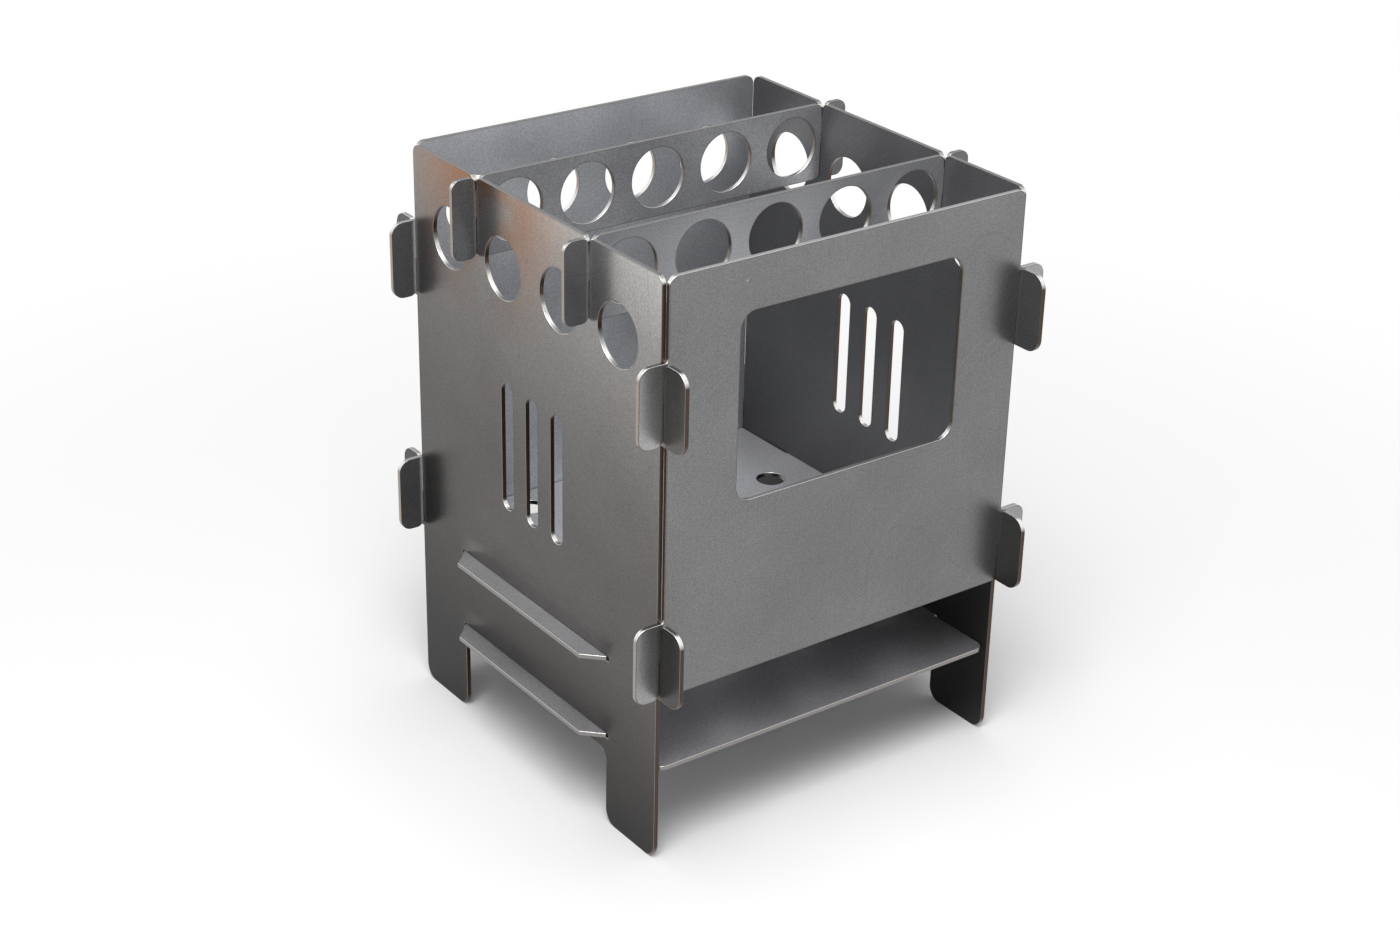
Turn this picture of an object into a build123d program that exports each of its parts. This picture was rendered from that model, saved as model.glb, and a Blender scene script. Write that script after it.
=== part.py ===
from build123d import *
import os

# Flat-pack wood stove for camping: eight laser-cut steel sheets that slot together, with no
# hinges and no fasteners. Two side plates stand on their own legs. A fire grate and an ash shelf
# push their tabs into the side plates. The front and back plates drop onto the ears of the side
# plates, and two pot bars drop into the top edges and tie the box together.
# Millimetres. The origin is on the ground below the middle, +Z is up and the window faces -Y.

# Sheet and slip fits
SHEET = 1.5
SLIP = 0.1
EDGE_GAP = 0.2

# Body, over the outer faces of the plates
HEIGHT = 194.0
WIDTH = 136.8
DEPTH = 139.3
CORNER_R = 3.0

# Ears: where two plates cross, each is slotted to half of the ear's height
EAR_HEIGHT = 25.8
EAR_MIDDLES = (71.3, 155.3)
FACE_EAR_REACH = 77.0
SIDE_EAR_REACH = 80.0
FACE_EAR_R = 4.0
SIDE_EAR_R = 4.6
MOUTH_R = 2.4
ROOT_R = 1.2

# Legs of the side plates, with an arch between them
LEG_INNER = 41.8
ARCH_TOP = 26.4
ARCH_R = 3.5
FOOT_R = 5.0

# Air holes
HOLE_R = 10.2
HOLE_Z = 168.9
HOLE_PITCH = 31.0
BAR_HOLE_PITCH = 27.2
BAR_HOLES = 5

# Vent slots of the side plates
VENTS = 3
VENT_WIDTH = 6.5
VENT_LENGTH = 44.0
VENT_PITCH = 14.0
VENT_Z = 109.0

# Fire window of the front plate
WINDOW_WIDTH = 84.4
WINDOW_BOTTOM = 116.8
WINDOW_TOP = 177.5
WINDOW_MIDDLE = 0.7
WINDOW_R = 5.5

# Pot bars
BAR_Y = 31.0
BAR_HEIGHT = 26.4
BAR_EAR_R = 3.2
BAR_NOTCH = 4.6

# Fire grate and ash shelf
GRATE_TOP = 60.1
SHELF_TOP = 32.3
SHELF_HALF_DEPTH = 67.5
SHELF_R = 3.5
TAB_HALF = 41.8
TAB_SLOT_HALF = 42.9
TAB_REACH = 74.6
TAB_CHAMFER = 6.0
GRATE_HOLE_R = 4.9
GRATE_PITCH_X = 32.8
GRATE_PITCH_Y = 28.4

# Faces and edges that follow from the sizes above
SIDE_OUTER = WIDTH / 2
SIDE_INNER = SIDE_OUTER - SHEET
FACE_OUTER = DEPTH / 2
FACE_INNER = FACE_OUTER - SHEET
SIDE_EDGE = FACE_INNER - EDGE_GAP
FACE_EDGE = SIDE_INNER - SLIP
EAR_BOTTOMS = [middle - EAR_HEIGHT / 2 for middle in EAR_MIDDLES]
EAR_TOPS = [middle + EAR_HEIGHT / 2 for middle in EAR_MIDDLES]
FACE_BOTTOM = EAR_BOTTOMS[0]
BAR_BOTTOM = HEIGHT - BAR_HEIGHT
BAR_MIDDLE = HEIGHT - BAR_HEIGHT / 2
PANEL_HALF_WIDTH = SIDE_INNER - EDGE_GAP
MATCH = 0.01


def span(low, high, bottom, top, mode=Mode.ADD):
    """Draws the rectangle between two positions across and two heights, and its mirror image."""
    middle = (low + high) / 2
    with Locations((-middle, (bottom + top) / 2), (middle, (bottom + top) / 2)):
        Rectangle(high - low, top - bottom, mode=mode)


def corners(across, heights):
    """Finds the corners of the sketch in hand at these distances from the middle and heights."""
    return ShapeList(
        corner
        for corner in vertices()
        if any(abs(abs(corner.X) - distance) < MATCH for distance in across)
        and any(abs(corner.Y - height) < MATCH for height in heights)
    )


def side_profile():
    """Draws a side plate: legs, four ears with slots open upwards, and its holes and slots."""
    with Locations((0, HEIGHT / 2)):
        Rectangle(2 * SIDE_EDGE, HEIGHT)
    with Locations((0, ARCH_TOP / 2)):
        Rectangle(2 * LEG_INNER, ARCH_TOP, mode=Mode.SUBTRACT)
    for bottom, middle, top in zip(EAR_BOTTOMS, EAR_MIDDLES, EAR_TOPS):
        span(SIDE_EDGE, SIDE_EAR_REACH, bottom, top)
        span(SIDE_EDGE, FACE_OUTER + SLIP, middle, top, mode=Mode.SUBTRACT)
    bar_half = SHEET / 2 + SLIP
    span(BAR_Y - bar_half, BAR_Y + bar_half, BAR_MIDDLE, HEIGHT, mode=Mode.SUBTRACT)

    fillet(corners([SIDE_EDGE], [HEIGHT]), CORNER_R)
    fillet(corners([SIDE_EAR_REACH], EAR_BOTTOMS + EAR_TOPS), SIDE_EAR_R)
    fillet(corners([FACE_OUTER + SLIP], EAR_TOPS), MOUTH_R)
    fillet(corners([BAR_Y - bar_half, BAR_Y + bar_half], [HEIGHT]), MOUTH_R)
    fillet(corners([LEG_INNER], [ARCH_TOP]), ARCH_R)
    fillet(corners([LEG_INNER, SIDE_EDGE], [0]), FOOT_R)

    with Locations((0, HOLE_Z)):
        with GridLocations(HOLE_PITCH, 0, 4, 1):
            Circle(HOLE_R, mode=Mode.SUBTRACT)
    with Locations((0, VENT_Z)):
        with GridLocations(VENT_PITCH, 0, VENTS, 1):
            SlotOverall(VENT_LENGTH, VENT_WIDTH, rotation=90, mode=Mode.SUBTRACT)
    for top in (GRATE_TOP, SHELF_TOP):
        with Locations((0, top + (EDGE_GAP - SHEET) / 2)):
            Rectangle(2 * TAB_SLOT_HALF, SHEET + EDGE_GAP, mode=Mode.SUBTRACT)


def face_profile():
    """Draws the outline that the front and back plates share: four ears, slots open downwards."""
    with Locations((0, (FACE_BOTTOM + HEIGHT) / 2)):
        Rectangle(2 * FACE_EDGE, HEIGHT - FACE_BOTTOM)
    for bottom, middle, top in zip(EAR_BOTTOMS, EAR_MIDDLES, EAR_TOPS):
        span(FACE_EDGE, FACE_EAR_REACH, bottom, top)
        span(FACE_EDGE, SIDE_OUTER + SLIP, bottom, middle, mode=Mode.SUBTRACT)

    fillet(corners([FACE_EDGE], [HEIGHT]), CORNER_R)
    fillet(corners([FACE_EAR_REACH], EAR_BOTTOMS + EAR_TOPS), FACE_EAR_R)
    fillet(corners([FACE_EDGE, SIDE_OUTER + SLIP], [FACE_BOTTOM]), MOUTH_R)
    fillet(corners([SIDE_OUTER + SLIP], [EAR_BOTTOMS[1]]), MOUTH_R)
    fillet(corners([FACE_EDGE], EAR_TOPS), ROOT_R)


def bar_profile():
    """Draws a pot bar: a row of holes, a slot below and a shallow notch above at each end."""
    with Locations((0, BAR_MIDDLE)):
        Rectangle(2 * FACE_EAR_REACH, BAR_HEIGHT)
    span(FACE_EDGE, SIDE_OUTER + SLIP, BAR_BOTTOM, BAR_MIDDLE, mode=Mode.SUBTRACT)
    span(FACE_EDGE, SIDE_OUTER + SLIP, HEIGHT - BAR_NOTCH, HEIGHT, mode=Mode.SUBTRACT)

    fillet(corners([FACE_EAR_REACH], [BAR_BOTTOM, HEIGHT]), BAR_EAR_R)
    fillet(corners([FACE_EDGE, SIDE_OUTER + SLIP], [BAR_BOTTOM, HEIGHT]), MOUTH_R)

    with Locations((0, BAR_MIDDLE)):
        with GridLocations(BAR_HOLE_PITCH, 0, BAR_HOLES, 1):
            Circle(HOLE_R, mode=Mode.SUBTRACT)


def floor_profile(half_depth):
    """Draws a panel that lies between the plates, with a tapered tab on each side."""
    Rectangle(2 * PANEL_HALF_WIDTH, 2 * half_depth)
    Rectangle(2 * TAB_REACH, 2 * TAB_HALF)
    chamfer(corners([TAB_REACH], [-TAB_HALF, TAB_HALF]), TAB_CHAMFER)


# Side plates: one cut shape, set up twice
with BuildPart() as left_side_plate:
    with BuildSketch(Plane.YZ.offset(-SIDE_OUTER)):
        side_profile()
    extrude(amount=SHEET)
left_side_plate.part.label = "left_side_plate"

with BuildPart() as right_side_plate:
    with BuildSketch(Plane.YZ.offset(SIDE_INNER)):
        side_profile()
    extrude(amount=SHEET)
right_side_plate.part.label = "right_side_plate"

# Front plate, with the window through which the fire is fed
with BuildPart() as front_plate:
    with BuildSketch(Plane.XZ.offset(FACE_INNER)):
        face_profile()
        with Locations((WINDOW_MIDDLE, (WINDOW_BOTTOM + WINDOW_TOP) / 2)):
            RectangleRounded(
                WINDOW_WIDTH, WINDOW_TOP - WINDOW_BOTTOM, WINDOW_R, mode=Mode.SUBTRACT
            )
    extrude(amount=SHEET)
front_plate.part.label = "front_plate"

# Back plate, with the same row of air holes as the side plates
with BuildPart() as back_plate:
    with BuildSketch(Plane.XZ.offset(-FACE_OUTER)):
        face_profile()
        with Locations((0, HOLE_Z)):
            with GridLocations(HOLE_PITCH, 0, 4, 1):
                Circle(HOLE_R, mode=Mode.SUBTRACT)
    extrude(amount=SHEET)
back_plate.part.label = "back_plate"

# Pot bars, level with the top edges of the plates
with BuildPart() as front_pot_bar:
    with BuildSketch(Plane.XZ.offset(BAR_Y - SHEET / 2)):
        bar_profile()
    extrude(amount=SHEET)
front_pot_bar.part.label = "front_pot_bar"

with BuildPart() as rear_pot_bar:
    with BuildSketch(Plane.XZ.offset(-BAR_Y - SHEET / 2)):
        bar_profile()
    extrude(amount=SHEET)
rear_pot_bar.part.label = "rear_pot_bar"

# Fire grate, with staggered rows of holes so that ash falls through
with BuildPart() as fire_grate:
    with BuildSketch(Plane.XY.offset(GRATE_TOP - SHEET)):
        floor_profile(SIDE_EDGE)
        with GridLocations(GRATE_PITCH_X, 2 * GRATE_PITCH_Y, 3, 3):
            Circle(GRATE_HOLE_R, mode=Mode.SUBTRACT)
        with GridLocations(GRATE_PITCH_X, 2 * GRATE_PITCH_Y, 4, 2):
            Circle(GRATE_HOLE_R, mode=Mode.SUBTRACT)
    extrude(amount=SHEET)
fire_grate.part.label = "fire_grate"

# Ash shelf, plain
with BuildPart() as ash_shelf:
    with BuildSketch(Plane.XY.offset(SHELF_TOP - SHEET)):
        floor_profile(SHELF_HALF_DEPTH)
        fillet(corners([PANEL_HALF_WIDTH], [-SHELF_HALF_DEPTH, SHELF_HALF_DEPTH]), SHELF_R)
    extrude(amount=SHEET)
ash_shelf.part.label = "ash_shelf"

os.makedirs("parts", exist_ok=True)
PIECES = (
    left_side_plate,
    right_side_plate,
    front_plate,
    back_plate,
    front_pot_bar,
    rear_pot_bar,
    fire_grate,
    ash_shelf,
)
for piece in PIECES:
    export_step(piece.part, "parts/" + piece.part.label + ".step")
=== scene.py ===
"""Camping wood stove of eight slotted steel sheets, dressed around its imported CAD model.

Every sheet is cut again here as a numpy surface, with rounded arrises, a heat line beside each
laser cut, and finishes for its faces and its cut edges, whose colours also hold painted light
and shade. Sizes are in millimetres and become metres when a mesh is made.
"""

from __future__ import annotations

import logging
import math
from dataclasses import dataclass, field
from enum import Enum
from typing import Any

import bpy
import numpy as np
from bpy.types import ID, Material, Mesh, Node, Object
from bpy.types import NodeSocket as Socket
from bpy.types import NodeTree as Tree
from mathutils import Euler, Matrix, Vector
from mathutils.geometry import tessellate_polygon

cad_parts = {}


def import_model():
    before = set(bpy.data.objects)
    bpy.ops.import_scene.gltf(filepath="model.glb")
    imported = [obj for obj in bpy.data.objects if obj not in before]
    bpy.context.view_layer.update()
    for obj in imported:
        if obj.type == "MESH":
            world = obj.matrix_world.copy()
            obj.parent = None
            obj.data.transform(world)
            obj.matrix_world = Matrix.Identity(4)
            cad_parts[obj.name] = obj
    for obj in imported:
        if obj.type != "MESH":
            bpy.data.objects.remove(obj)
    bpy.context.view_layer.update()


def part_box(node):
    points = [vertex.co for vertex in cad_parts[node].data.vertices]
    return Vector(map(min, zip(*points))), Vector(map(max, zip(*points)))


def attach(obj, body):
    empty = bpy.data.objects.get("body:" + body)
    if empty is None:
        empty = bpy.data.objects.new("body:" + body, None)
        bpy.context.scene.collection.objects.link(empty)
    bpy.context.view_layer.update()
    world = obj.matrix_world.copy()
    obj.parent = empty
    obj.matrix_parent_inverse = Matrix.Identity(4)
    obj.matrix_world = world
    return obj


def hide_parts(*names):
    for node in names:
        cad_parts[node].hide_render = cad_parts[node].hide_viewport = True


Pair = tuple[float, float]
Triple = tuple[float, float, float]
Settings = dict[Any, Any]

LOG = logging.getLogger("stove")
MM = 0.001
# Points of an outline that are nearer than this, in millimetres, are one point
SAME_POINT = 1e-4
# Half the box's width and depth over its plates, in millimetres
BOX_HALF = (68.4, 69.65)
# Material slots of a sheet
UPPER, LOWER, CUT = range(3)
# Numbers of a mix node's two colour inputs
MIX_A, MIX_B = 6, 7


def mirrored(half: list[Triple] | np.ndarray) -> np.ndarray:
    """Completes an outline whose right half is given from the bottom up.

    Args:
        half: Corners as (across, up, radius), all on the right of the middle line.

    Returns:
        All corners, counter-clockwise, as rows of (across, up, radius).
    """
    right = np.array(half, float)
    return np.vstack([right, right[::-1] * (-1.0, 1.0, 1.0)])


def box_corners(centre: Pair, width: float, height: float, radius: float) -> np.ndarray:
    """Gives the corners of a rectangular opening, clockwise, so that the sheet is on its left.

    Args:
        centre: Middle of the opening, across and up.
        width: Size across.
        height: Size up.
        radius: Radius of all four corners.

    Returns:
        Four rows of (across, up, radius).
    """
    signs = np.array([(-1, -1), (-1, 1), (1, 1), (1, -1)], float)
    spots = np.array(centre) + signs * (width / 2, height / 2)
    return np.column_stack([spots, np.full(4, radius)])


@dataclass(frozen=True)
class Outline:
    """Closed line of straight runs and rounded corners, with the sheet on its left.

    Attributes:
        corners: Rows of (across, up, radius).
        steps: Straight pieces into which each corner's arc is divided.
    """

    corners: np.ndarray
    steps: int = 8

    def into(self) -> np.ndarray:
        """Gives the unit direction of the run into each corner."""
        runs = self.corners[:, :2] - np.roll(self.corners[:, :2], 1, axis=0)
        return runs / np.linalg.norm(runs, axis=1, keepdims=True)

    def turns(self) -> np.ndarray:
        """Works out how far the line turns at each corner.

        The turn is the arc tangent of the cross product of the two runs over their dot product.

        Returns:
            Signed angles in radians, left turns positive.
        """
        into = self.into()
        out = np.roll(into, -1, axis=0)
        cross = into[:, 0] * out[:, 1] - into[:, 1] * out[:, 0]
        return np.arctan2(cross, (into * out).sum(axis=1))

    def outward(self) -> np.ndarray:
        """Works out the direction away from the sheet at each point of each arc.

        The direction at an arc's start is the run into the corner turned clockwise by a quarter
        turn. Along the arc it turns on, in equal steps, by the corner's own turn.

        Returns:
            Array of shape (corners, points per arc, 2).
        """
        into = self.into()[:, None, :]
        angle = self.turns()[:, None] * np.linspace(0.0, 1.0, self.steps + 1)
        right = np.stack([into[..., 1], -into[..., 0]], axis=-1)
        return right * np.cos(angle)[..., None] + into * np.sin(angle)[..., None]

    def ring(self, inset: float = 0.0, smallest: float = 0.01) -> np.ndarray:
        """Works out the points of the line after it has moved into the sheet.

        A corner moves along its mitre: against the sum of the outward directions of its two runs,
        by the inset over one plus the cosine between them. Its radius shrinks by the inset at an
        outer corner and grows by it at an inner one. The arc starts one tangent length before
        the corner, radius times the tangent of half the turn.

        Args:
            inset: Distance from the cut line into the sheet.
            smallest: Least radius that an outer corner keeps.

        Returns:
            Array of shape (corners, points per arc, 2).
        """
        turn = self.turns()
        side = np.sign(turn)
        away = self.outward()
        first, last = away[:, 0], away[:, -1]
        mitre = inset / (1.0 + (first * last).sum(axis=1))
        corner = self.corners[:, :2] - mitre[:, None] * (first + last)
        radius = np.maximum(self.corners[:, 2] - inset * side, smallest)
        start = corner - self.into() * (radius * np.tan(np.abs(turn) / 2))[:, None]
        centre = start - first * (side * radius)[:, None]
        return centre[:, None, :] + away * (side * radius)[:, None, None]

    def keep(self) -> np.ndarray:
        """Marks the points to keep where one arc ends on the start of the next."""
        points = self.ring().reshape(-1, 2)
        return np.linalg.norm(points - np.roll(points, -1, axis=0), axis=1) > SAME_POINT


def circle(centre: Pair, radius: float) -> Outline:
    """Gives a round hole as a square opening whose corner arcs meet."""
    return Outline(box_corners(centre, 2 * radius, 2 * radius, radius), steps=16)


def row(pitch: float, count: int) -> np.ndarray:
    """Gives positions spaced evenly about the middle: pitch times 0, 1, 2 ... less their mean."""
    return pitch * (np.arange(count) - (count - 1) / 2)


def fill_face(spots: np.ndarray, rings: list[np.ndarray]) -> np.ndarray:
    """Fills a face between its lines with triangles that all turn counter-clockwise.

    Args:
        spots: Positions of all points in the plane.
        rings: Numbers of the points along each line, the outer one first.

    Returns:
        Rows of three point numbers.
    """
    lines = [np.column_stack([spots[ring], np.zeros(len(ring))]).tolist() for ring in rings]
    fill = np.concatenate(rings)[np.array(tessellate_polygon(lines))]
    a, b, c = (spots[fill[:, k]] for k in range(3))
    turned = np.cross(b - a, c - a) < 0
    fill[turned] = fill[turned, ::-1]
    return fill


def new_object(name: str, data: ID) -> Object:
    """Adds an object to the scene, at the origin.

    Args:
        name: Name of the object.
        data: Its mesh, lamp or camera.

    Returns:
        The object.
    """
    made = bpy.data.objects.new(name, data)
    bpy.context.scene.collection.objects.link(made)
    return made


class Facing(Enum):
    """Directions of a sheet in space: across, up in its own plane, and out of its face."""

    SIDE = ((0, 1, 0), (0, 0, 1), (1, 0, 0))
    FACE = ((1, 0, 0), (0, 0, 1), (0, -1, 0))
    FLOOR = ((1, 0, 0), (0, 1, 0), (0, 0, 1))


@dataclass(frozen=True)
class EdgeShape:
    """Section of a cut edge: square to the faces, with both arrises slightly rounded.

    Attributes:
        arris: Radius of the rounded arrises.
        heat: Width of the heat line on each face, from the cut.
        steps: Straight pieces in each rounded arris.
    """

    arris: float = 0.14
    heat: float = 0.42
    steps: int = 3

    def rows(self, thickness: float) -> np.ndarray:
        """Gives the section from the lower face to the upper face.

        Each arris is a quarter circle: the inset is the radius times one minus the cosine of the
        lean, and the height is half the thickness less the radius times one minus the sine.

        Args:
            thickness: Thickness of the sheet.

        Returns:
            Rows of (inset, height from the middle, lean of the surface in radians).
        """
        lean = np.linspace(0.0, math.pi / 2, self.steps + 1)
        inset = self.arris * (1 - np.cos(lean))
        rise = thickness / 2 - self.arris * (1 - np.sin(lean))
        upper = np.column_stack([inset, rise, lean])
        upper = np.vstack([upper, (self.heat, thickness / 2, math.pi / 2)])
        return np.vstack([upper[::-1] * (1, -1, -1), upper])


# Section of the plates that meet at the rear right corner, where the camera looks into the seam
CRISP_EDGE = EdgeShape(arris=0.05)


@dataclass(frozen=True)
class Dress:
    """Finishes of one sheet.

    Attributes:
        upper: Finish of the face that looks along the sheet's third direction.
        lower: Finish of the other face.
        cut: Finish of the cut edges.
    """

    upper: Material
    lower: Material
    cut: Material


@dataclass
class CutSheet:
    """One flat steel sheet, laser-cut through.

    Attributes:
        name: Name of the finished piece.
        node: CAD node that it stands for.
        body: CAD body that it rides on.
        facing: Its directions in space.
        rim: Outer line.
        openings: Lines of the holes and slots.
        edge: Section of the cut edge.
    """

    name: str
    node: str
    body: str
    facing: Facing
    rim: Outline
    openings: list[Outline] = field(default_factory=list)
    edge: EdgeShape = EdgeShape()

    def place(self) -> tuple[np.ndarray, float, float]:
        """Reads the sheet's plane from its CAD node.

        Returns:
            The three directions as rows, the height of the middle plane along the third and
            the thickness, both in millimetres.
        """
        axes = np.array(self.facing.value, float)
        low, high = (np.array(corner) / MM @ axes[2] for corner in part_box(self.node))
        return axes, (low + high) / 2, abs(high - low)

    def wall(self, line: Outline, section: np.ndarray, base: int) -> tuple[np.ndarray, ...]:
        """Carries the edge section round one line.

        Point (i, j) is the line's point i moved in by the section's inset j and raised by its
        height j, and its normal leans from the outward direction to the face's by lean j. The
        texture's u is the length along the line and its v the height, but on the first and last
        strip, which lie in the faces, it is the place across and up.

        Args:
            line: Line to follow.
            section: Rows of (inset, height, lean).
            base: Number of its first point.

        Returns:
            Rows of points, of their normals, of quads and of the texture at the quads' corners.
        """
        keep = line.keep()
        flat = np.stack([line.ring(inset).reshape(-1, 2)[keep] for inset in section[:, 0]], axis=1)
        size, count = flat.shape[:2]
        height, lean = (np.broadcast_to(column, (size, count)) for column in section.T[1:])
        away = line.outward().reshape(-1, 2)[keep][:, None, :]
        normals = np.dstack([away * np.cos(lean)[..., None], np.sin(lean)])

        index = np.arange(size * count).reshape(size, count)
        after = np.roll(index, -1, axis=0)
        quads = np.stack([index[:, :-1], after[:, :-1], after[:, 1:], index[:, 1:]], axis=-1)
        middle = flat[:, count // 2]
        runs = np.linalg.norm(np.roll(middle, -1, axis=0) - middle, axis=1)
        along = np.concatenate([[0.0], np.cumsum(runs)])
        rise = section[:, 1]
        u = np.stack([along[:-1], along[1:], along[1:], along[:-1]], axis=-1)[:, None, :]
        v = np.stack([rise[:-1], rise[:-1], rise[1:], rise[1:]], axis=-1)[None]
        texture = np.stack(np.broadcast_arrays(u, v), axis=-1)
        texture[:, [0, -1]] = flat.reshape(-1, 2)[quads[:, [0, -1]]]
        points = np.dstack([flat, height]).reshape(-1, 3)
        return points, normals.reshape(-1, 3), quads.reshape(-1, 4) + base, texture.reshape(-1, 2)

    def mesh(self) -> Mesh:
        """Makes the surface: a wall along every line, and both faces as flat fills between them.

        The first strip of a wall lies in the lower face and the last in the upper face. The heat
        line is full at the cut and fades out over them.

        Returns:
            The mesh, with its material slots, texture, heat line and normals.
        """
        axes, middle, thickness = self.place()
        section = self.edge.rows(thickness)
        count = len(section)
        walls, rings = [], []
        base = 0
        for line in (self.rim, *self.openings):
            walls.append(self.wall(line, section, base))
            rings.append(np.arange(base + count - 1, base + len(walls[-1][0]), count))
            base += len(walls[-1][0])

        spots, normals, quads, texture = (np.concatenate(arrays) for arrays in zip(*walls))
        top = fill_face(spots[:, :2], rings)
        faces = np.concatenate([top, top[:, ::-1] - (count - 1)])
        texture = np.concatenate([texture, spots[faces, :2].reshape(-1, 2)])
        around = base // count
        heat = np.tile(np.r_[0.0, np.ones(count - 2), 0.0], around)
        strips = np.r_[LOWER, np.full(count - 3, CUT), UPPER]
        slots = np.concatenate([np.tile(strips, around), np.repeat([UPPER, LOWER], len(top))])

        mesh = bpy.data.meshes.new(self.name)
        solid = (spots + (0.0, 0.0, middle)) @ axes * MM
        mesh.from_pydata(solid.tolist(), [], quads.tolist() + faces.tolist())
        mesh.polygons.foreach_set("material_index", slots.astype(np.int32))
        mesh.polygons.foreach_set("use_smooth", np.ones(len(slots), bool))
        cut_line = mesh.uv_layers.new(name="cut_line")
        cut_line.data.foreach_set("uv", texture.reshape(-1).astype(np.float32))
        heat_line = mesh.attributes.new("heat_line", "FLOAT", "POINT")
        heat_line.data.foreach_set("value", heat.astype(np.float32))
        mesh.validate()
        mesh.normals_split_custom_set_from_vertices((normals @ axes).tolist())
        return mesh

    def build(self, dress: Dress) -> None:
        """Makes the piece, dresses it and puts it on its body.

        Args:
            dress: Finishes of its two faces and its cut edge.
        """
        piece = new_object(self.name, self.mesh())
        for finish in (dress.upper, dress.lower, dress.cut):
            piece.data.materials.append(finish)
        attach(piece, self.body)
        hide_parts(self.node)
        LOG.info("%s: %d faces on %s", self.name, len(piece.data.polygons), self.body)


def linear(code: str) -> tuple[float, ...]:
    """Turns an sRGB hex colour into linear light.

    Args:
        code: Colour as six hex digits.

    Returns:
        Red, green, blue and an alpha of 1: below 0.04045 a value over 12.92, and above it the
        value plus 0.055 over 1.055, to the power 2.4.
    """
    value = np.array([int(code[k : k + 2], 16) for k in (0, 2, 4)]) / 255
    light = np.where(value <= 0.04045, value / 12.92, ((value + 0.055) / 1.055) ** 2.4)
    return (*light.tolist(), 1.0)


def add_node(
    tree: Tree, kind: str, settings: Settings | None = None, links: Settings | None = None
) -> Node:
    """Adds a shader node with its settings and links.

    Args:
        tree: Node tree that gets it.
        kind: Blender's name for its kind, without the word ShaderNode.
        settings: Values by property, input name or input number.
        links: Sources by input name or input number. A node stands for its first output in use.

    Returns:
        The new node.
    """
    node = tree.nodes.new(f"ShaderNode{kind}")
    for key, value in (settings or {}).items():
        if isinstance(key, str) and hasattr(node, key):
            setattr(node, key, value)
        else:
            node.inputs[key].default_value = value
    for key, source in (links or {}).items():
        if isinstance(source, Node):
            source = next(output for output in source.outputs if output.enabled)
        tree.links.new(source, node.inputs[key])
    return node


def onto(low: float, high: float, start: float = 0.0, end: float = 1.0, unit: float = 1.0) -> Settings:
    """Gives the settings of a map range node that carries low and high, in the unit, onto start and end."""
    return {"From Min": low * unit, "From Max": high * unit, "To Min": start, "To Max": end}


def new_material(name: str) -> tuple[Material, Tree]:
    """Makes an empty node material.

    Args:
        name: Name of the material.

    Returns:
        The material and its node tree.
    """
    material = bpy.data.materials.new(name)
    material.use_nodes = True
    material.node_tree.nodes.clear()
    return material, material.node_tree


class Grain(Enum):
    """Direction in which a sheet's rolling lines run, as the scale of their pattern."""

    UPRIGHT = (1.0, 1.0, 0.02)
    ACROSS = (0.02, 1.0, 1.0)


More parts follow.
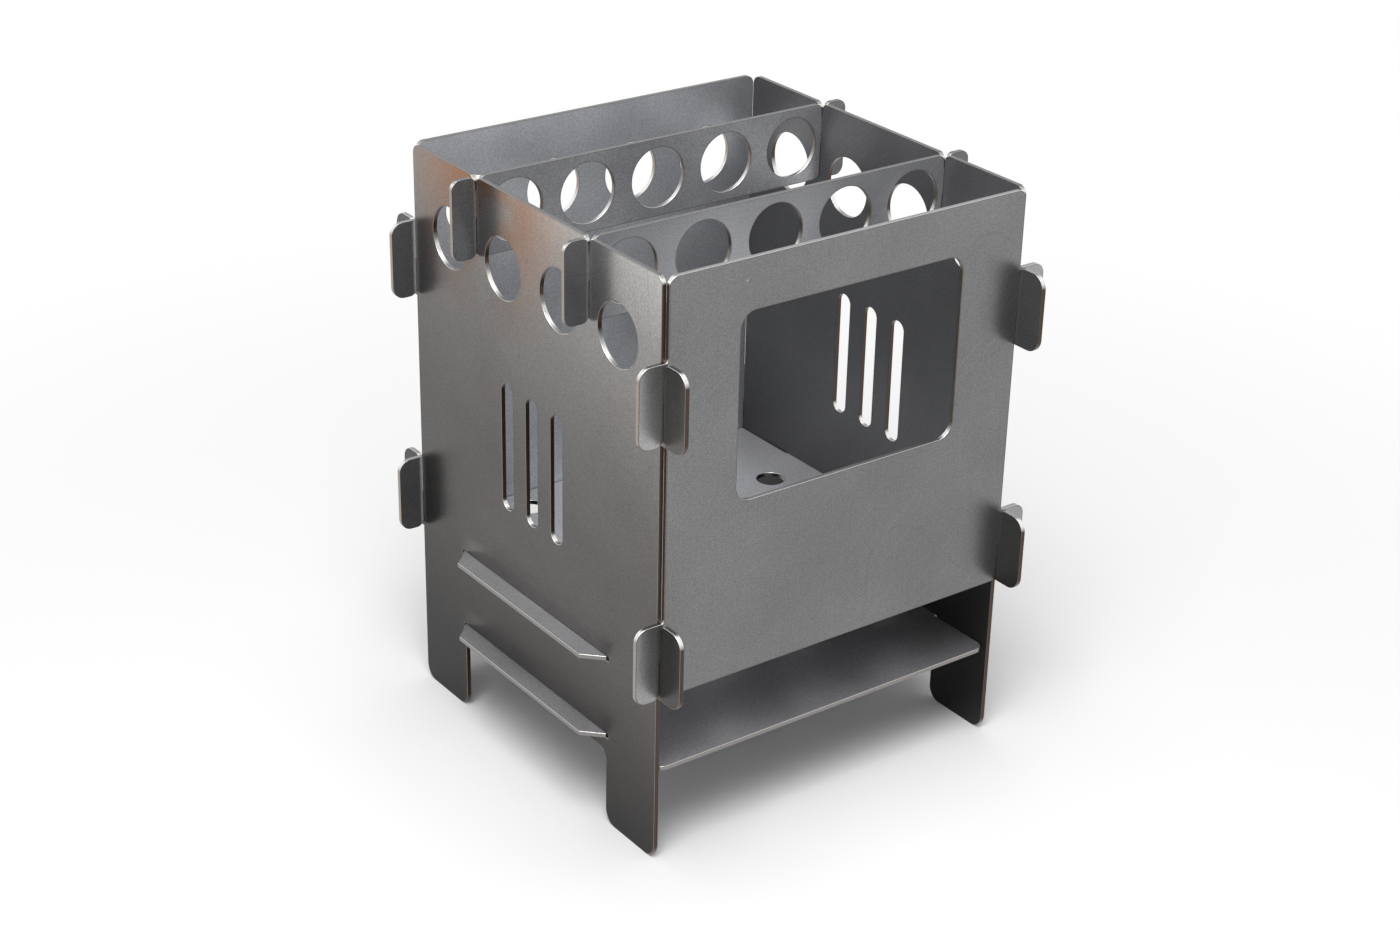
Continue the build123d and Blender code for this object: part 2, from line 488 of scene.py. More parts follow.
@dataclass(frozen=True)
class MillSteel:
    """Cold-rolled mild steel as the mill delivers it: bare, matt, faintly lined by the rolls.

    It gives the eye a soft neutral grey with blurred reflections, fine lines along the rolling
    direction, cloudy patches of oil, small bright nicks and a few hairline scratches. Its colour
    also holds painted light and shade: a grade from a dark end to a bright end, a painted warm
    reflection, painted tones beyond the box and a painted reflection above the tabs. Lengths
    are in millimetres.

    Attributes:
        name: Name of the material.
        grain: Rolling direction.
        slant: Turn from upright to the direction of the scratches, in radians about each axis.
        steel_and_painted_shades: Steel colours with painted light and shade, evenly spaced from its dark
            end to its bright end.
        bright: Direction from the dark end to the bright end, along which light and shade are painted.
        span: Where the dark end and the bright end lie along that direction.
        heat: Colour of the line beside a laser cut.
        painted_tones_outside: Painted light and shade of the lower and upper ears, which stand out beyond
            the box.
        painted_outside_from: Distance beyond the outer faces of the box at which that painted tone starts.
        painted_outside_change: Heights between which it goes from the lower ears' to the upper ears'.
        painted_warm_reflection: Tint of a painted warm reflection, laid over the steel's colour.
        painted_reflection_centre: Middle of the painted warm reflection.
        painted_reflection_reach: Radius of the painted warm reflection, or 0 for none.
        painted_light_above: How much brighter the sheet is just above the tabs that push through it, as a
            painted reflection of them.
        tab_tops: Heights of the upper sides of those tabs, with their share of it.
        tab_fade: Distances from the middle between which it fades out along the tabs.
        painted_light_reach: Height over which it fades out.
        smudges: How much darker the cloudy smudges are.
        metallic: Share of its light that it mirrors. The rest is scattered by the matt skin.
        roughness: Blur of its reflections.
    """

    name: str
    grain: Grain
    slant: Triple = (0.0, 0.9, 0.0)
    steel_and_painted_shades: tuple[str, ...] = ("767676", "7b7b7b", "818182")
    bright: Triple = (0.0, 0.0, 1.0)
    span: Pair = (0.0, 194.0)
    heat: str = "55524f"
    painted_tones_outside: tuple[str, str] = ("989898", "a7a7a7")
    painted_outside_from: float = 0.2
    painted_outside_change: Pair = (90.0, 140.0)
    painted_warm_reflection: str = "ffb986"
    painted_reflection_centre: Triple = (0.0, 0.0, 0.0)
    painted_reflection_reach: float = 0.0
    painted_light_above: float = 0.0
    tab_tops: tuple[Pair, ...] = ((32.3, 1.0), (60.1, 0.8))
    tab_fade: Pair = (36.0, 44.0)
    painted_light_reach: float = 8.0
    smudges: float = 0.08
    metallic: float = 0.9
    roughness: float = 0.38

    def make(self) -> Material:
        """Builds the node tree.

        Returns:
            The finished material.
        """
        material, tree = new_material(self.name)
        place = add_node(tree, "TexCoord").outputs["Object"]
        lined = add_node(tree, "Mapping", {"Scale": self.grain.value}, {"Vector": place})
        # Clouds of 40 mm, rolling lines 0.5 mm apart and grit of 0.4 mm: finer ones don't show
        cloud = add_node(tree, "TexNoise", {"Scale": 26.0, "Detail": 4.0}, {"Vector": place})
        rolled = {"Scale": 2000.0, "Detail": 2.0, "Roughness": 0.6}
        lines = add_node(tree, "TexNoise", rolled, {"Vector": lined})
        grit = add_node(tree, "TexNoise", {"Scale": 2300.0, "Detail": 0.0}, {"Vector": place})
        # Painted light and shade, graded from a dark end to a bright end
        colour = self.shade(tree, place)
        # Painted warm reflection, laid over the steel's colour
        if self.painted_reflection_reach:
            colour = self.add_painted_reflection(tree, place, cloud, colour)
        # Painted light and shade on the ears and tabs that stand out beyond the box
        colour = self.add_painted_outside(tree, place, colour)
        factor, *tones = (
            add_node(tree, "MapRange", onto(*values), {"Value": pattern})
            for pattern, values in (
                (lines, (0.3, 0.7, 0.975, 1.025)),
                (grit, (0.3, 0.7, 0.86, 1.14)),
                (cloud, (0.36, 0.64, 1.0 - self.smudges, 1.0 + self.smudges / 2)),
            )
        )
        tones += self.add_marks(tree, place)
        # Painted reflection of the tabs, making the sheet lighter just above each one
        if self.painted_light_above:
            tones.append(self.add_painted_tab_light(tree, place))
        for tone in tones:
            factor = add_node(tree, "Math", {"operation": "MULTIPLY"}, {0: factor, 1: tone})
        colour = add_node(tree, "VectorMath", {"operation": "SCALE"}, {0: colour, "Scale": factor})
        heat = add_node(tree, "Attribute", {"attribute_name": "heat_line"}).outputs["Fac"]
        weak = add_node(tree, "Math", {"operation": "MULTIPLY", 1: 0.5}, {0: heat})
        burnt = {"data_type": "RGBA", MIX_B: linear(self.heat)}
        colour = add_node(tree, "Mix", burnt, {0: weak, MIX_A: colour})
        blurs = onto(0.35, 0.65, self.roughness - 0.03, self.roughness + 0.03)
        blur = add_node(tree, "MapRange", blurs, {"Value": cloud})
        height = add_node(tree, "Math", {"operation": "ADD"}, {0: lines, 1: grit})
        bump = add_node(tree, "Bump", {"Strength": 0.2, "Distance": 0.03 * MM}, {"Height": height})
        shader = add_node(
            tree, "BsdfPrincipled", {"Metallic": self.metallic},
            {"Base Color": colour, "Roughness": blur, "Normal": bump},
        )
        add_node(tree, "OutputMaterial", links={"Surface": shader})
        return material

    def shade(self, tree: Tree, place: Socket) -> Node:
        """Grades the sheet from its dark end to its bright end, painting light and shade into its colour.

        The position along the bright direction, from 0 to 1 over the span, picks the colour from
        a ramp.

        Args:
            tree: Node tree of the material.
            place: Object coordinates.

        Returns:
            Node that gives the colour with its painted light and shade.
        """
        along = add_node(tree, "VectorMath", {"operation": "DOT_PRODUCT", 1: self.bright}, {0: place})
        share = add_node(tree, "MapRange", onto(*self.span, unit=MM), {"Value": along})
        ramp = add_node(tree, "ValToRGB", links={0: share})
        stops = ramp.color_ramp.elements
        stops[0].color, stops[1].color = linear(self.steel_and_painted_shades[0]), linear(self.steel_and_painted_shades[-1])
        for number, shade in enumerate(self.steel_and_painted_shades[1:-1], start=1):
            stops.new(number / (len(self.steel_and_painted_shades) - 1)).color = linear(shade)
        return ramp

    def add_painted_reflection(self, tree: Tree, place: Socket, cloud: Node, colour: Node) -> Node:
        """Lays the painted warm reflection over the steel, whose colour it multiplies.

        Its share falls smoothly from its middle outwards, and the clouds break up its edge.

        Args:
            tree: Node tree of the material.
            place: Object coordinates.
            cloud: Cloud pattern.
            colour: Colour below the painted reflection.

        Returns:
            Node that gives the colour with the painted reflection on it.
        """
        centre = tuple(value * MM for value in self.painted_reflection_centre)
        away = add_node(tree, "VectorMath", {"operation": "DISTANCE", 1: centre}, {0: place})
        smooth = {"interpolation_type": "SMOOTHSTEP", **onto(0.0, self.painted_reflection_reach, 1.0, 0.0, MM)}
        fade = add_node(tree, "MapRange", smooth, {"Value": away})
        broken = add_node(tree, "MapRange", onto(0.3, 0.45), {"Value": cloud})
        share = add_node(tree, "Math", {"operation": "MULTIPLY"}, {0: fade, 1: broken})
        tint = {"data_type": "RGBA", "blend_type": "MULTIPLY", MIX_B: linear(self.painted_warm_reflection)}
        return add_node(tree, "Mix", tint, {0: share, MIX_A: colour})

    def add_painted_outside(self, tree: Tree, place: Socket, colour: Node) -> Node:
        """Gives the ears their own tone: painted light and shade.

        Its share rises over a millimetre of the greater distance beyond the box, to the side or
        to the front or back.

        Args:
            tree: Node tree of the material.
            place: Object coordinates.
            colour: Colour of the sheet.

        Returns:
            Node that gives the colour with the ears' painted tone on them.
        """
        box = (BOX_HALF[0] * MM, BOX_HALF[1] * MM, 0.0)
        apart = add_node(tree, "VectorMath", {"operation": "ABSOLUTE"}, {0: place})
        beyond = add_node(tree, "VectorMath", {"operation": "SUBTRACT", 1: box}, {0: apart})
        part = add_node(tree, "SeparateXYZ", links={0: beyond}).outputs
        most = add_node(tree, "Math", {"operation": "MAXIMUM"}, {0: part["X"], 1: part["Y"]})
        rise = onto(self.painted_outside_from, self.painted_outside_from + 1.0, unit=MM)
        share = add_node(tree, "MapRange", rise, {"Value": most})
        pair = add_node(tree, "MapRange", onto(*self.painted_outside_change, unit=MM), {"Value": part["Z"]})
        lower, upper = (linear(tone) for tone in self.painted_tones_outside)
        tones = add_node(tree, "Mix", {"data_type": "RGBA", MIX_A: lower, MIX_B: upper}, {0: pair})
        return add_node(tree, "Mix", {"data_type": "RGBA"}, {0: share, MIX_A: colour, MIX_B: tones})

    def add_marks(self, tree: Tree, place: Socket) -> list[Node]:
        """Works out how much brighter or darker the marks of handling make the steel.

        Nicks are small dots around scattered points. Scratches are the crests of a noise drawn out
        along a slant. A hairline runs where a broad noise passes a value near its middle. Scratches
        fade out where the broad noise is low.

        Args:
            tree: Node tree of the material.
            place: Object coordinates.

        Returns:
            Nodes that give factors of the colour.
        """
        slant = {"vector_type": "TEXTURE", "Rotation": self.slant, "Scale": (1.0, 1.0, 40.0)}
        drawn = add_node(tree, "Mapping", slant, {"Vector": place})
        # Broad patches of 70 mm, scratches 0.8 mm apart and up to 30 mm long, and a nick every 22 mm
        broad = add_node(tree, "TexNoise", {"Scale": 14.0, "Detail": 0.0}, {"Vector": place})
        crest = add_node(tree, "TexNoise", {"Scale": 1300.0, "Detail": 0.0}, {"Vector": drawn})
        spots = add_node(tree, "TexVoronoi", {"Scale": 45.0}, {"Vector": place})
        strength = add_node(tree, "MapRange", onto(0.45, 0.6, 1.0, 1.09), {"Value": broad})
        scratch = add_node(tree, "MapRange", onto(0.66, 0.74, 1.0), {"Value": crest, "To Max": strength})
        middle = add_node(tree, "Math", {"operation": "SUBTRACT", 1: 0.56}, {0: broad})
        near = add_node(tree, "Math", {"operation": "ABSOLUTE"}, {0: middle})
        hairline = add_node(tree, "MapRange", onto(0.0, 0.0016, 0.86, 1.0), {"Value": near})
        nick = add_node(tree, "MapRange", onto(0.01, 0.022, 2.0, 1.0), {"Value": spots})
        return [nick, scratch, hairline]

    def add_painted_tab_light(self, tree: Tree, place: Socket) -> Node:
        """Works out how much brighter the painted reflection of the tabs makes the sheet above them.

        A ramp over the height jumps to full at the upper side of each tab, stays near it for
        almost half of the reach and falls to nothing at its end. Towards the front and back ends
        of the tabs it fades out.

        Args:
            tree: Node tree of the material.
            place: Object coordinates.

        Returns:
            Node that gives a factor of the colour.
        """
        ramp_top = 100.0
        part = add_node(tree, "SeparateXYZ", links={0: place}).outputs
        climb = add_node(tree, "MapRange", onto(0.0, ramp_top, unit=MM), {"Value": part["Z"]})
        ramp = add_node(tree, "ValToRGB", links={0: climb})
        stops = ramp.color_ramp.elements
        stops[0].color = stops[1].color = linear("000000")
        rise = ((-0.3, 0.0), (0.0, 1.0), (0.45 * self.painted_light_reach, 0.85), (self.painted_light_reach, 0.0))
        for top, full in self.tab_tops:
            for above, share in rise:
                tone = full * share
                stops.new((top + above) / ramp_top).color = (tone, tone, tone, 1.0)
        aside = add_node(tree, "Math", {"operation": "ABSOLUTE"}, {0: part["Y"]})
        within = add_node(tree, "MapRange", onto(*self.tab_fade, 1.0, 0.0, MM), {"Value": aside})
        share = add_node(tree, "Math", {"operation": "MULTIPLY"}, {0: ramp, 1: within})
        return add_node(tree, "MapRange", onto(0.0, 1.0, 1.0, 1.0 + self.painted_light_above), {"Value": share})


@dataclass(frozen=True)
class LaserCut:
    """Cut face left by a laser in mild steel, brown from the heat, with painted light where it turns up.

    It gives the eye dark brown strips on upright cuts, tan ones on their flanks, light grey top
    edges and a glint on every rounded corner between the two, with fine stripes across. The darker
    brown of cuts that face the front or back is painted shade, the tan and the light grey are
    painted light, and the glint is a painted highlight.

    Attributes:
        name: Name of the material.
        brown: Colour of upright cuts that look to the front or back: heat colour with painted shade.
        tan: Colour of upright cuts that look to the side, lighter by painted light.
        glint: Painted highlight where a rounded corner turns up.
        painted_light_above: Colour of the top edges, painted light on the cut where it faces up.
        rim: Brightness left on the rim at the top of the stove by a painted shade.
        painted_rim_span: Heights between which that painted shade sets in, in millimetres.
        roughness: Blur of its reflections.
    """

    name: str
    brown: str = "50443e"
    tan: str = "a2988f"
    glint: str = "f0eeeb"
    painted_light_above: str = "99999b"
    rim: float = 0.5
    painted_rim_span: Pair = (192.8, 193.3)
    roughness: float = 0.3

    def make(self) -> Material:
        """Builds the node tree.

        The upward part of the surface's direction picks the colour from a ramp: upright, glint, top
        edge. The upright colour goes from tan to brown with the square of its front part. So light and
        shade by the way the cut faces are painted into its colour.

        Returns:
            The finished material.
        """
        material, tree = new_material(self.name)
        line = add_node(tree, "UVMap", {"uv_map": "cut_line"})
        where = add_node(tree, "TexCoord").outputs
        # Stripes 0.4 mm apart along the cut, which hold their line across the thickness
        along = add_node(tree, "Mapping", {"Scale": (1.0, 0.15, 1.0)}, {"Vector": line})
        stripes = add_node(tree, "TexNoise", {"Scale": 2.5, "Detail": 2.0}, {"Vector": along})
        way = add_node(tree, "SeparateXYZ", links={0: where["Normal"]}).outputs
        # Painted shade: cuts that face the front or back are darker than those that face the side
        front = add_node(tree, "Math", {"operation": "MULTIPLY"}, {0: way["Y"], 1: way["Y"]})
        tan, brown, glint = linear(self.tan), linear(self.brown), linear(self.glint)
        upright = add_node(tree, "Mix", {"data_type": "RGBA", MIX_A: tan, MIX_B: brown}, {0: front})
        ramp = add_node(tree, "ValToRGB", links={0: way["Z"]})
        stops = ramp.color_ramp.elements
        # Painted highlight: the glint holds up to 0.85, some 60 degrees up, and is gone at 0.97
        stops[0].position, stops[0].color = 0.45, glint
        # The top edges' colour: painted light on the cut where it faces up
        stops[1].position, stops[1].color = 0.97, linear(self.painted_light_above)
        stops.new(0.85).color = glint
        share = add_node(tree, "MapRange", onto(0.12, 0.5), {"Value": way["Z"]})
        colour = add_node(tree, "Mix", {"data_type": "RGBA"}, {0: share, MIX_A: upright, MIX_B: ramp})
        stripe = add_node(tree, "MapRange", onto(0.3, 0.7, 0.88, 1.08), {"Value": stripes})
        # Painted shade on the top edges at the top of the stove
        part = add_node(tree, "SeparateXYZ", links={0: where["Object"]}).outputs
        painted_rim_shade = add_node(tree, "MapRange", onto(*self.painted_rim_span, 1.0, self.rim, MM), {"Value": part["Z"]})
        for tone in (stripe, painted_rim_shade):
            colour = add_node(tree, "VectorMath", {"operation": "SCALE"}, {0: colour, "Scale": tone})
        bump = add_node(tree, "Bump", {"Strength": 0.3, "Distance": 0.04 * MM}, {"Height": stripes})
        shader = add_node(
            tree, "BsdfPrincipled", {"Metallic": 1.0, "Roughness": self.roughness},
            {"Base Color": colour, "Normal": bump},
        )
        add_node(tree, "OutputMaterial", links={"Surface": shader})
        return material


@dataclass(frozen=True)
class Slotting:
    """Sizes that the sheets share because they slot into one another, in millimetres.

    The slip in the slots and the seams at the corners are drawn tighter than the CAD's 0.1 and
    0.2 mm, so that hardly any bright background shines through them.
    """

    sheet: float = 1.5
    slip: float = 0.02
    seam: float = 0.02
    edge_gap: float = 0.2
    height: float = 194.0
    side_outer: float = BOX_HALF[0]
    face_outer: float = BOX_HALF[1]
    corner_r: float = 3.0
    ear_height: float = 25.8
    ear_middles: Pair = (71.3, 155.3)
    face_reach: float = 77.0
    side_reach: float = 80.0
    mouth_r: float = 2.4
    kerf_r: float = 0.15
    bar_y: float = 31.0
    bar_height: float = 26.4
    holes: int = 4
    hole_r: float = 10.2
    hole_z: float = 168.9
    hole_pitch: float = 31.0
    grate_top: float = 60.1
    shelf_top: float = 32.3

    @property
    def side_edge(self) -> float:
        """Where the side plates end, just inside the front and back plates."""
        return self.face_outer - self.sheet - self.seam

    @property
    def face_edge(self) -> float:
        """Inner side of the slots that hold the side plates."""
        return self.side_outer - self.sheet - self.slip

    @property
    def side_slot(self) -> float:
        """Outer side of the slots that hold the side plates."""
        return self.side_outer + self.slip

    @property
    def face_slot(self) -> float:
        """Outer side of the slots that hold the front and back plates."""
        return self.face_outer + self.slip

    @property
    def bar_middle(self) -> float:
        """Height at which the pot bars and the side plates meet in their half-lap slots."""
        return self.height - self.bar_height / 2

    def ears(self) -> list[Triple]:
        """Gives the bottom, middle and top of each ear, from the lower pair up."""
        half = self.ear_height / 2
        return [(middle - half, middle, middle + half) for middle in self.ear_middles]

    def air_holes(self) -> list[Outline]:
        """Gives the row of air holes below the top edge."""
        return [circle((x, self.hole_z), self.hole_r) for x in row(self.hole_pitch, self.holes)]


@dataclass
class SidePlates:
    """The two plates that carry the stove: legs, ears, air holes, vents and slots for the tabs."""

    fit: Slotting
    leg_inner: float = 41.8
    arch_top: float = 26.4
    arch_r: float = 3.5
    foot_r: float = 5.0
    ear_r: float = 4.6
    tab_slot_half: float = 42.9
    vents: int = 3
    vent_width: float = 6.5
    vent_length: float = 44.0
    vent_pitch: float = 14.0
    vent_z: float = 109.0

    def rim(self) -> Outline:
        """Draws the outer line, with ear slots open upwards and a bar slot in the top edge."""
        fit = self.fit
        inner, outer, reach = fit.side_edge, fit.face_slot, fit.side_reach
        half = [(self.leg_inner, self.arch_top, self.arch_r), (self.leg_inner, 0.0, self.foot_r),
                (inner, 0.0, self.foot_r)]
        for bottom, middle, top in fit.ears():
            half += [(inner, bottom, fit.kerf_r), (reach, bottom, self.ear_r),
                     (reach, top, self.ear_r), (outer, top, fit.mouth_r),
                     (outer, middle, fit.kerf_r), (inner, middle, fit.kerf_r)]
        bar = fit.sheet / 2 + fit.slip
        near, far = fit.bar_y - bar, fit.bar_y + bar
        half += [(inner, fit.height, fit.corner_r), (far, fit.height, fit.mouth_r),
                 (far, fit.bar_middle, fit.kerf_r), (near, fit.bar_middle, fit.kerf_r),
                 (near, fit.height, fit.mouth_r)]
        return Outline(mirrored(half))

    def openings(self) -> list[Outline]:
        """Draws the air holes, the vents and the slots that hold the grate's and shelf's tabs."""
        fit = self.fit
        size = (self.vent_width, self.vent_length, self.vent_width / 2)
        vents = [Outline(box_corners((x, self.vent_z), *size), steps=12)
                 for x in row(self.vent_pitch, self.vents)]
        size = (2 * self.tab_slot_half, fit.sheet + fit.edge_gap, fit.kerf_r)
        slots = [Outline(box_corners((0.0, top + (fit.edge_gap - fit.sheet) / 2), *size))
                 for top in (fit.grate_top, fit.shelf_top)]
        return fit.air_holes() + vents + slots

    def build(self, left: Dress, right: Dress) -> None:
        """Cuts both plates.

        Args:
            left: Finishes of the left plate.
            right: Finishes of the right plate.
        """
        for side, dress, edge in (("left_side", left, EdgeShape()), ("right_side", right, CRISP_EDGE)):
            CutSheet(f"{side}_sheet", f"{side}_plate", "firebox", Facing.SIDE, self.rim(),
                     self.openings(), edge).build(dress)


@dataclass
class FacePlates:
    """The front plate with its fire window and the back plate with its air holes."""

    fit: Slotting
    ear_r: float = 4.0
    root_r: float = 1.2
    window_width: float = 84.4
    window_bottom: float = 116.8
    window_top: float = 177.5
    window_middle: float = 0.7
    window_r: float = 5.5

    def rim(self) -> Outline:
        """Draws the outer line, with ear slots open downwards."""
        fit = self.fit
        inner, outer, reach = fit.face_edge, fit.side_slot, fit.face_reach
        half = [(inner, fit.ears()[0][0], fit.mouth_r)]
        for bottom, middle, top in fit.ears():
            half += [(inner, middle, fit.kerf_r), (outer, middle, fit.kerf_r),
                     (outer, bottom, fit.mouth_r), (reach, bottom, self.ear_r),
                     (reach, top, self.ear_r), (inner, top, self.root_r)]
        half.append((inner, fit.height, fit.corner_r))
        return Outline(mirrored(half))

    def window(self) -> list[Outline]:
        """Draws the fire window."""
        centre = (self.window_middle, (self.window_bottom + self.window_top) / 2)
        size = (self.window_width, self.window_top - self.window_bottom)
        return [Outline(box_corners(centre, *size, self.window_r))]

    def build(self, front: Dress, back: Dress) -> None:
        """Cuts both plates.

        Args:
            front: Finishes of the front plate.
            back: Finishes of the back plate.
        """
        CutSheet("front_face_sheet", "front_plate", "front_plate", Facing.FACE, self.rim(),
                 self.window()).build(front)
        CutSheet("back_face_sheet", "back_plate", "back_plate", Facing.FACE, self.rim(),
                 self.fit.air_holes(), CRISP_EDGE).build(back)


@dataclass
class PotBars:
    """The two bars that carry a pot and tie the side plates together."""

    fit: Slotting
    ear_r: float = 3.2
    notch: float = 4.6
    holes: int = 5
    hole_pitch: float = 27.2

    def rim(self) -> Outline:
        """Draws the outer line: at each end a slot from below and a shallow notch from above."""
        fit = self.fit
        inner, outer, reach = fit.face_edge, fit.side_slot, fit.face_reach
        middle, top = fit.bar_middle, fit.height
        bottom, notch = top - fit.bar_height, top - self.notch
        half = [(inner, bottom, fit.mouth_r), (inner, middle, fit.kerf_r),
                (outer, middle, fit.kerf_r), (outer, bottom, fit.mouth_r),
                (reach, bottom, self.ear_r), (reach, top, self.ear_r), (outer, top, fit.mouth_r),
                (outer, notch, fit.kerf_r), (inner, notch, fit.kerf_r), (inner, top, fit.mouth_r)]
        return Outline(mirrored(half))

    def build(self, dress: Dress) -> None:
        """Cuts both bars.

        Args:
            dress: Finishes of each bar.
        """
        fit = self.fit
        holes = [circle((x, fit.bar_middle), fit.hole_r) for x in row(self.hole_pitch, self.holes)]
        for name in ("front", "rear"):
            CutSheet(f"{name}_bar_sheet", f"{name}_pot_bar", f"{name}_pot_bar", Facing.FACE,
                     self.rim(), holes).build(dress)


@dataclass
class FloorPanels:
    """The fire grate and the ash shelf, which lie between the plates on their tabs."""

    fit: Slotting
    half_width: float = 66.7
    half_depth: float = 67.95
    shelf_half_depth: float = 67.5
    shelf_r: float = 3.5
    tab_half: float = 41.8
    tab_reach: float = 74.6
    tab_chamfer: float = 6.0
    hole_r: float = 4.9
    pitch_x: float = 32.8
    pitch_y: float = 28.4

    def rim(self, half_depth: float, corner_r: float) -> Outline:
        """Draws the outer line of a panel with a tapered tab on each side.

        Args:
            half_depth: Distance from the middle to the front edge.
            corner_r: Radius of the four corners.

        Returns:
            The line.
        """
        kerf, tab = self.fit.kerf_r, self.tab_half
        half = np.array([(self.half_width, -half_depth, corner_r), (self.half_width, -tab, kerf),
                         (self.tab_reach - self.tab_chamfer, -tab, kerf),
                         (self.tab_reach, self.tab_chamfer - tab, kerf)])
        return Outline(mirrored(np.vstack([half, half[::-1] * (1.0, -1.0, 1.0)])))

    def grate_holes(self) -> list[Outline]:
        """Draws the staggered rows of ash holes: a grid of 3 by 3 and one of 4 by 2 between."""
        spots = [(x, y) for nx, ny in ((3, 3), (4, 2))
                 for y in row(2 * self.pitch_y, ny) for x in row(self.pitch_x, nx)]
        return [circle(spot, self.hole_r) for spot in spots]

    def build(self, dress: Dress) -> None:
        """Cuts the grate and the shelf.

        Args:
            dress: Finishes of each panel.
        """
        CutSheet("fire_grate_sheet", "fire_grate", "firebox", Facing.FLOOR,
                 self.rim(self.half_depth, self.fit.kerf_r), self.grate_holes()).build(dress)
        CutSheet("ash_shelf_sheet", "ash_shelf", "firebox", Facing.FLOOR,
                 self.rim(self.shelf_half_depth, self.shelf_r)).build(dress)


@dataclass(frozen=True)
class Viewpoint:
    """Camera at the photograph's place: its position in millimetres, angles in degrees."""

    position: Triple = (-449.3, -598.2, 453.0)
    azimuth: float = 36.719
    elevation: float = 25.876
    roll: float = 1.327
    lens: float = 65.06
    sensor: float = 36.0

    def make(self) -> None:
        """Sets up the camera.

        It looks to the back, down by the elevation, and turns to the right by the azimuth and
        about its own line of sight by the roll.
        """
        turn, dip, lean = (math.radians(angle) for angle in (self.azimuth, self.elevation, self.roll))
        data = bpy.data.cameras.new("camera")
        data.lens, data.sensor_width, data.sensor_fit = self.lens, self.sensor, "HORIZONTAL"
        camera = new_object("camera", data)
        aimed = Euler((math.pi / 2 - dip, 0.0, -turn)).to_matrix() @ Matrix.Rotation(lean, 3, "Z")
        camera.matrix_world = Matrix.Translation(Vector(self.position) * MM) @ aimed.to_4x4()
        bpy.context.scene.camera = camera


@dataclass(frozen=True)
class SoftBox:
    """Square lamp behind a diffuser.

    Attributes:
        name: Name of the lamp.
        position: Its middle, in metres.
        side: Length of a side, in metres.
        power: Light that it gives, in watts.
    """

    name: str
    position: Triple
    side: float
    power: float

    def make(self, target: Vector) -> None:
        """Hangs the lamp and aims it.

        Args:
            target: Point that it faces.
        """
        data = bpy.data.lights.new(self.name, "AREA")
        data.shape, data.size, data.energy = "SQUARE", self.side, self.power
        lamp = new_object(self.name, data)
        lamp.location = self.position
        lamp.rotation_euler = (target - lamp.location).to_track_quat("-Z", "Y").to_euler()


@dataclass
class Studio:
    """Pale floor, white surroundings and soft lamps.

    Attributes:
        floor_half: Half the floor's width, in metres.
        paper: Colour of the floor.
        plain: Distances from the middle between which the floor turns plain white, in metres.
        surround: Strength of the surroundings as light.
        aim: Height of the point that the lamps face, in metres.
        boxes: Lamps.
    """

    floor_half: float = 3.0
    paper: str = "f7f7f7"
    plain: Pair = (0.1, 0.5)
    surround: float = 0.3
    aim: float = 0.1
    boxes: tuple[SoftBox, ...] = (
        SoftBox("key_box", (-0.495, -0.495, 1.312), 0.8, 14.0),
        SoftBox("overhead_box", (0.0, 0.0, 1.5), 0.8, 7.0),
    )

    def seen(self, tree: Tree) -> Node:
        """Tells rays that show a thing from rays that only light one.

        Args:
            tree: Node tree that gets the nodes.

        Returns:
            Node that gives 1 for rays from the camera, from metal and through glass, and 0 for
            scattered light.
        """
        rays = add_node(tree, "LightPath").outputs
        seen = rays["Is Camera Ray"]
        for kind in ("Is Glossy Ray", "Is Transmission Ray"):
            seen = add_node(tree, "Math", {"operation": "MAXIMUM"}, {0: seen, 1: rays[kind]})
        return seen

    def floor(self) -> None:
        """Lays the floor: a flat square of paper that keeps the object's shadow.

        Far from the object, where the lamps fade, it is plain white to the camera, in metal and in
        glass. The share of white rises smoothly with the distance from the middle.
        """
        corner = np.array([(-1, -1, 0), (1, -1, 0), (1, 1, 0), (-1, 1, 0)], float) * self.floor_half
        mesh = bpy.data.meshes.new("studio_floor")
        mesh.from_pydata(corner.tolist(), [], [(0, 1, 2, 3)])
        material, tree = new_material("studio_paper")
        matt = add_node(tree, "BsdfDiffuse", {"Color": linear(self.paper)})
        plain = add_node(tree, "Emission", {"Color": linear("ffffff"), "Strength": 1.0})
        place = add_node(tree, "TexCoord").outputs["Object"]
        away = add_node(tree, "VectorMath", {"operation": "LENGTH"}, {0: place})
        smooth = {"interpolation_type": "SMOOTHSTEP", **onto(*self.plain)}
        far = add_node(tree, "MapRange", smooth, {"Value": away})
        share = add_node(tree, "Math", {"operation": "MULTIPLY"}, {0: far, 1: self.seen(tree)})
        mixed = add_node(tree, "MixShader", links={0: share, 1: matt, 2: plain})
        add_node(tree, "OutputMaterial", links={"Surface": mixed})
        mesh.materials.append(material)
        floor = new_object("studio_floor", mesh)

    def surroundings(self) -> None:
        """Makes the world: white to the camera, in metal and in glass, and softer as light."""
        world = bpy.data.worlds.new("studio")
        bpy.context.scene.world = world
        world.use_nodes = True
        tree = world.node_tree
        tree.nodes.clear()
        level = add_node(tree, "MapRange", onto(0.0, 1.0, self.surround), {"Value": self.seen(tree)})
        sky = add_node(tree, "Background", {"Color": linear("ffffff")}, {"Strength": level})
        add_node(tree, "OutputWorld", links={"Surface": sky})

    def build(self) -> None:
        """Sets up the floor, the surroundings, the lamps and the camera."""
        bpy.context.scene.view_settings.view_transform = "Standard"
        self.floor()
        self.surroundings()
        for box in self.boxes:
            box.make(Vector((0.0, 0.0, self.aim)))
        Viewpoint().make()


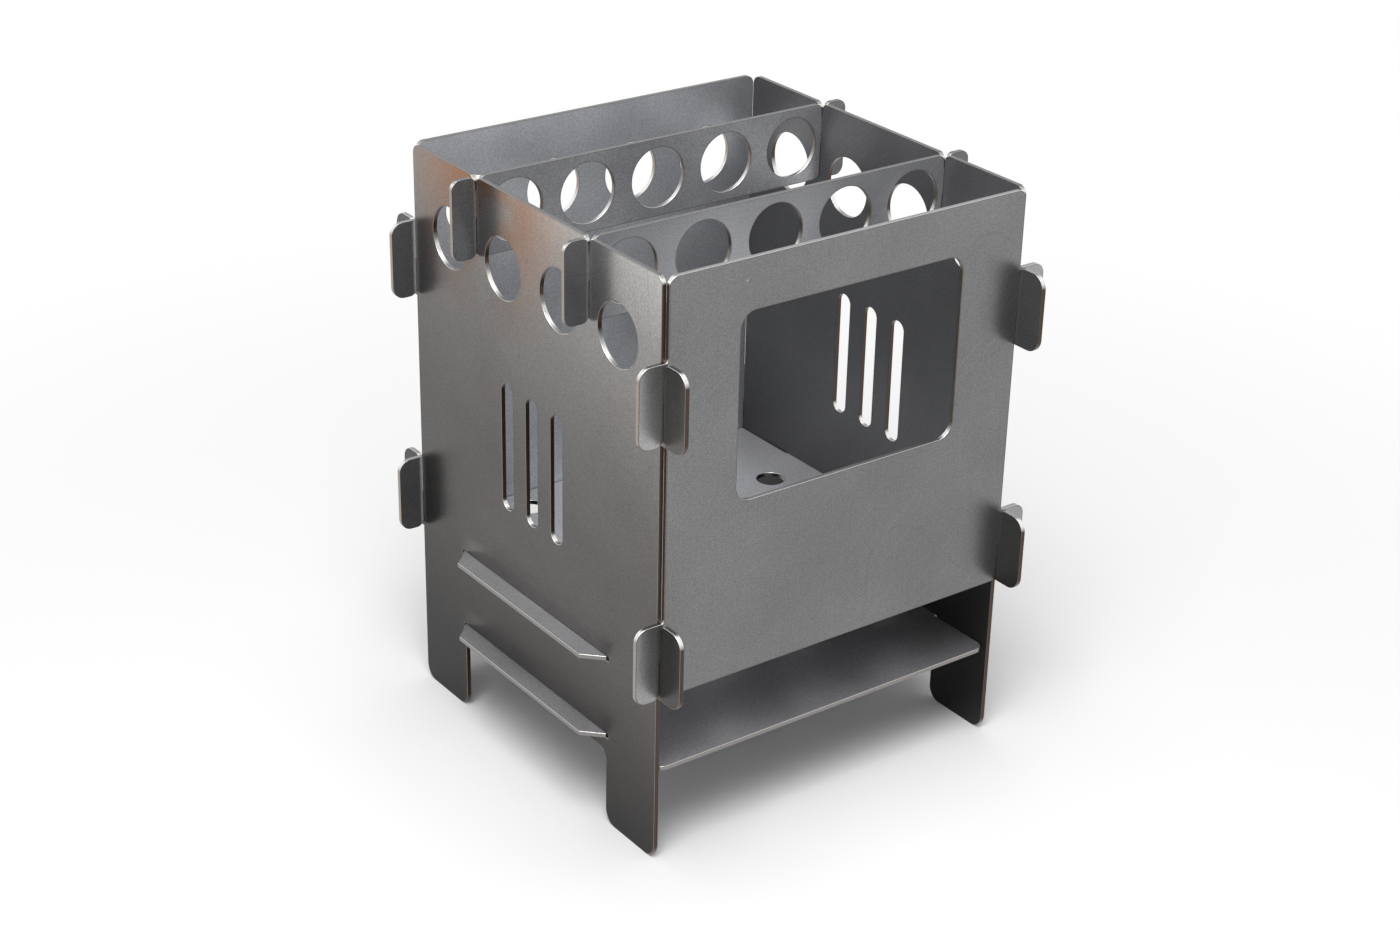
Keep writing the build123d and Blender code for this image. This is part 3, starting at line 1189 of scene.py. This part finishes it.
def main() -> None:
    """Builds the stove in its frame, then the studio."""
    logging.basicConfig(level=logging.INFO, format="%(name)s: %(message)s")
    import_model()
    # Cut edges: painted light and shade by the way they face, with a painted glint on rounded corners
    cut = LaserCut("laser_cut_edge").make()
    # Only the front plate's top edges are spared the painted shade at the top of the stove
    front_cut = LaserCut("laser_cut_front", rim=1.0).make()
    floor_cut = LaserCut("laser_cut_panel", brown="8f8b89", tan="8a8887").make()
    # Outer faces of the front and back plates: a little darker towards the bottom by painted shade, ears
    # lighter by painted light
    outer = MillSteel("mill_steel_outer", Grain.UPRIGHT, roughness=0.32).make()
    # Side plates: painted shade and reflection from dark legs to a bright top front, and painted shade on
    # the ears
    side = MillSteel(
        "mill_steel_side", Grain.UPRIGHT, slant=(-1.1, 0.0, 0.0), painted_light_above=1.1,
        steel_and_painted_shades=("1c1b1a", "292726", "42403e", "595755", "5b5957", "6a6866", "7e7c7a", "9c9a98", "c7c6c4"),
        bright=(0.0, -0.22, 1.0), span=(-15.0, 215.0), painted_tones_outside=("4d4c4a", "5d5c5a"),
        painted_reflection_centre=(-68.4, 27.0, 196.0), painted_reflection_reach=62.0, roughness=0.28,
    ).make()
    # Inner faces of the side plates: darker towards the bottom by painted shade, with painted tones on the
    # ears
    lining = MillSteel(
        "mill_steel_lining", Grain.UPRIGHT, slant=(0.9, 0.0, 0.0),
        steel_and_painted_shades=("2a2928", "484848", "7b7b7c", "818183"), span=(0.0, 150.0),
        painted_tones_outside=("555554", "6f6f6f"), metallic=0.8,
    ).make()
    matt = {"span": (-60.0, 60.0), "metallic": 0.7, "roughness": 0.42}
    # Inner faces of the front and back plates: the same steel made much lighter by painted light, lighter
    # to the left, ears darker by painted shade
    inner = MillSteel(
        "mill_steel_inner", Grain.UPRIGHT, steel_and_painted_shades=("b6b8bc", "c8cbcf", "ccced3"),
        bright=(-1.0, 0.0, 0.0), painted_tones_outside=("626264", "626264"), smudges=0.13, **matt,
    ).make()
    # Pot bars: painted light, lighter towards the right, and painted shade on their ears
    bars = MillSteel(
        "mill_steel_bars", Grain.ACROSS, steel_and_painted_shades=("9d9ea1", "a6a7aa", "b3b4b8"),
        bright=(1.0, 0.0, 0.0), painted_tones_outside=("717274", "717274"), smudges=0.16, **matt,
    ).make()
    # Grate and shelf: the lower shelf darker by painted shade, the grate lighter by painted light, tabs
    # with a painted tone
    panels = MillSteel(
        "mill_steel_panels", Grain.ACROSS, steel_and_painted_shades=("8e8e91", "bdbdc1", "dedfe2"),
        bright=(-0.1, 0.0, 1.0), span=(20.0, 70.0), painted_tones_outside=("b2b2b5", "b2b2b5"), painted_outside_from=-1.4,
        metallic=0.7, roughness=0.45,
    ).make()
    fit = Slotting()
    SidePlates(fit).build(Dress(lining, side, cut), Dress(side, lining, cut))
    FacePlates(fit).build(Dress(outer, inner, front_cut), Dress(inner, outer, cut))
    PotBars(fit).build(Dress(bars, bars, cut))
    FloorPanels(fit).build(Dress(panels, panels, floor_cut))
    Studio().build()


if __name__ == "__main__":
    main()
